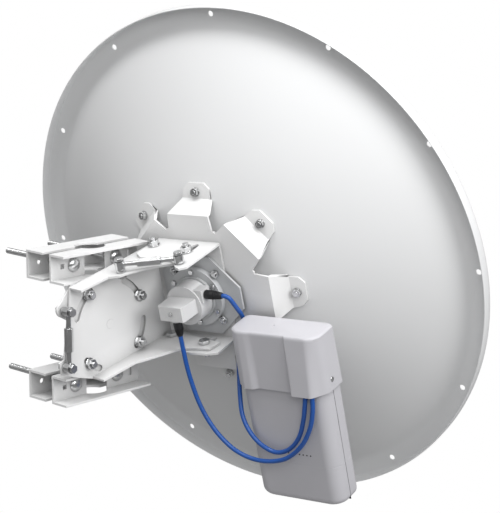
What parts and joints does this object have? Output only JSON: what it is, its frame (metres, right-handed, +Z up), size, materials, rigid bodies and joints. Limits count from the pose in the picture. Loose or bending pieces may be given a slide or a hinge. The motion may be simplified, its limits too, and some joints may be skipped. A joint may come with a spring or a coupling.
{
  "type": "outdoor wireless bridge antenna",
  "caption": "Parabolic wireless bridge antenna with feed, radio unit, jumper cables and a mast bracket that aims it in elevation and azimuth.",
  "frame": {"origin": "on the mast axis, midway between the two clamps", "axes": "+Z up the mast, +Y along the clamp channels towards the reflector, +X from the mast towards the pivot plate"},
  "size_m": [0.6924, 0.4525, 0.6833],
  "materials": {
    "coat": "satin white powder coat",
    "reflector_coat": "fine satin white powder coat",
    "zinc": "bright zinc plate",
    "alloy": "plain machined aluminium",
    "feed_metal": "pale grey coated casting",
    "feed_plastic": "moulded light grey plastic",
    "radio_plastic": "fine textured cool grey plastic",
    "boot_rubber": "moulded black rubber",
    "cable_jacket": "smooth blue jacket",
    "plug_metal": "plated brass",
    "board": "green circuit board",
    "smoked_plastic": "smoked light pipes"
  },
  "bodies": {
    "mast_bracket": {"upper_channel": "coat", "lower_channel": "coat", "pivot_plate": "coat", "pivot_stud": "coat", "clamp_bolts": "zinc", "elevation_lock_bolts": "zinc", "elevation_lock_nuts": "zinc", "elevation_pin_upper": "zinc"},
    "upper_jaw_body": {"upper_jaw": "coat", "upper_jaw_nuts": "zinc"},
    "lower_jaw_body": {"lower_jaw": "coat", "lower_jaw_nuts": "zinc"},
    "elevation_body": {"elevation_bracket": "coat", "azimuth_pivot_bolts": "zinc", "azimuth_lock_bolts": "zinc", "elevation_pin_lower": "zinc", "azimuth_pin_left": "zinc"},
    "elevation_eye_a": {"elevation_eye_upper": "zinc"},
    "elevation_hex": {"elevation_adjuster": "zinc"},
    "elevation_eye_b": {"elevation_eye_lower": "zinc"},
    "azimuth_eye_a": {"azimuth_eye_left": "zinc"},
    "azimuth_hex": {"azimuth_adjuster": "zinc"},
    "azimuth_eye_b": {"azimuth_eye_right": "zinc"},
    "hood_body": {"hood": "radio_plastic", "hood_screw": "zinc"},
    "dish_body": {"azimuth_bracket": "coat", "star_bracket": "coat", "radio_bracket": "coat", "reflector": "reflector_coat", "azimuth_pin_right": "zinc", "feed_plate": "feed_metal", "bracket_bolts": "zinc", "star_bolts": "zinc", "star_nuts": "zinc", "feed_flange": "feed_metal", "feed_flange_screws": "zinc", "feed_housing": "feed_plastic", "feed_cover": "feed_plastic", "feed_cover_screw": "zinc", "feed_tube": "alloy", "subreflector": "alloy", "feed_radome": "feed_plastic", "feed_probes": "plug_metal", "feed_jacks": "plug_metal", "boot_side": "boot_rubber", "boot_bottom": "boot_rubber", "cable_side": "cable_jacket", "cable_bottom": "cable_jacket", "radio_screws": "zinc", "radio_rear_shell": "radio_plastic", "radio_front_shell": "radio_plastic", "radio_gasket": "boot_rubber", "radio_board": "board", "radio_shield": "alloy", "radio_jacks": "plug_metal", "radio_plugs": "plug_metal", "ethernet_jack": "alloy", "light_pipes": "smoked_plastic"}
  },
  "joints": [
    {"name": "elevation", "type": "hinge", "parent": "mast_bracket", "child": "elevation_body", "pos_m": [0.036, 0, 0], "axis": [1, 0, 0], "range_deg": [-14, 4]},
    {"name": "azimuth", "type": "hinge", "parent": "elevation_body", "child": "dish_body", "pos_m": [0.05, 0.08245, 0.02876], "axis": [0, -0.247, 0.969], "range_deg": [-16, 2]},
    {"name": "upper_jaw_slide", "type": "slide", "parent": "mast_bracket", "child": "upper_jaw_body", "axis": [-1, 0, 0], "range_m": [0, 0.06]},
    {"name": "lower_jaw_slide", "type": "slide", "parent": "mast_bracket", "child": "lower_jaw_body", "axis": [-1, 0, 0], "range_m": [0, 0.06]},
    {"name": "elevation_link_swing", "type": "hinge", "parent": "mast_bracket", "child": "elevation_eye_a", "pos_m": [0.045, -0.076, 0.03], "axis": [1, 0, 0], "range_deg": [-8.51, 2.5]},
    {"name": "elevation_hex_travel", "type": "slide", "parent": "elevation_eye_a", "child": "elevation_hex", "axis": [0, 0, -1], "range_m": [-0.00956, 0.0028]},
    {"name": "elevation_link_length", "type": "slide", "parent": "elevation_eye_a", "child": "elevation_eye_b", "axis": [0, 0, -1], "range_m": [-0.01901, 0.0055]},
    {"name": "azimuth_link_swing", "type": "hinge", "parent": "elevation_body", "child": "azimuth_eye_a", "pos_m": [0.066, -0.00863, 0.08242], "axis": [0, -0.247, 0.969], "range_deg": [-10.34, 1.38]},
    {"name": "azimuth_hex_travel", "type": "slide", "parent": "azimuth_eye_a", "child": "azimuth_hex", "axis": [0.8202, 0.5543, 0.1413], "range_m": [-0.01024, 0.00137]},
    {"name": "azimuth_link_length", "type": "slide", "parent": "azimuth_eye_a", "child": "azimuth_eye_b", "axis": [0.8202, 0.5543, 0.1413], "range_m": [-0.02037, 0.00263]},
    {"name": "hood_slide", "type": "slide", "parent": "dish_body", "child": "hood_body", "axis": [0, -0.247, 0.969], "range_m": [0, 0.075]}
  ],
  "couplings": [
    {"joint": "elevation_link_swing", "follows": "elevation", "ratio": 0.601},
    {"joint": "elevation_hex_travel", "follows": "elevation", "m_per_rad": 0.0387},
    {"joint": "elevation_link_length", "follows": "elevation", "m_per_rad": 0.0774},
    {"joint": "azimuth_link_swing", "follows": "azimuth", "ratio": 0.64},
    {"joint": "azimuth_hex_travel", "follows": "azimuth", "m_per_rad": 0.0363},
    {"joint": "azimuth_link_length", "follows": "azimuth", "m_per_rad": 0.0726}
  ]
}
